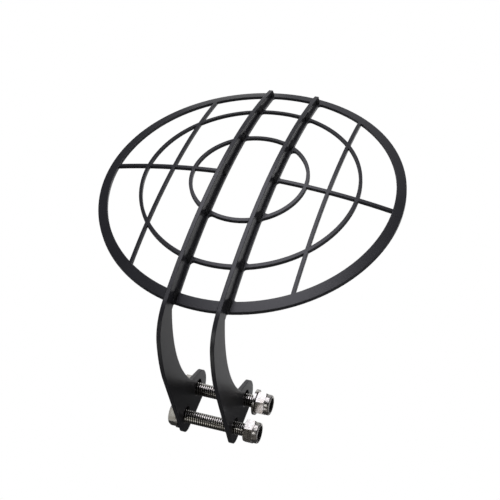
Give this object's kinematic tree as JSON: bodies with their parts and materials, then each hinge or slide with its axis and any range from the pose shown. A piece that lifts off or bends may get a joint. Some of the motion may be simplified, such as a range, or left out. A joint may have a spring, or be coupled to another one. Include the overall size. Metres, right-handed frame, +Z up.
{
  "type": "headlight grille",
  "caption": "Round domed steel headlight guard with rings and bars, carried on plate ribs that sweep back as bolted arms.",
  "frame": {"origin": "midway between the two arms and midway between the two pairs of bolt holes at their rear ends", "axes": "the grille faces -Y, +X is to the right as seen from the front, and +Z is up along the ribs"},
  "size_m": [0.19, 0.1269, 0.2168],
  "materials": {
    "powder_coat": "satin black powder coat on steel",
    "zinc": "bright zinc plate on steel",
    "nylon": "dark nylon"
  },
  "bodies": {
    "root": {"grille": "powder_coat", "left_rib": "powder_coat", "right_rib": "powder_coat", "upper_bolt": "zinc", "lower_bolt": "zinc", "upper_head_washer": "zinc", "lower_head_washer": "zinc", "upper_nut_washer": "zinc", "upper_lock_nut": "zinc", "lower_lock_nut": "zinc", "upper_nut_insert": "nylon", "lower_nut_insert": "nylon"}
  },
  "joints": []
}
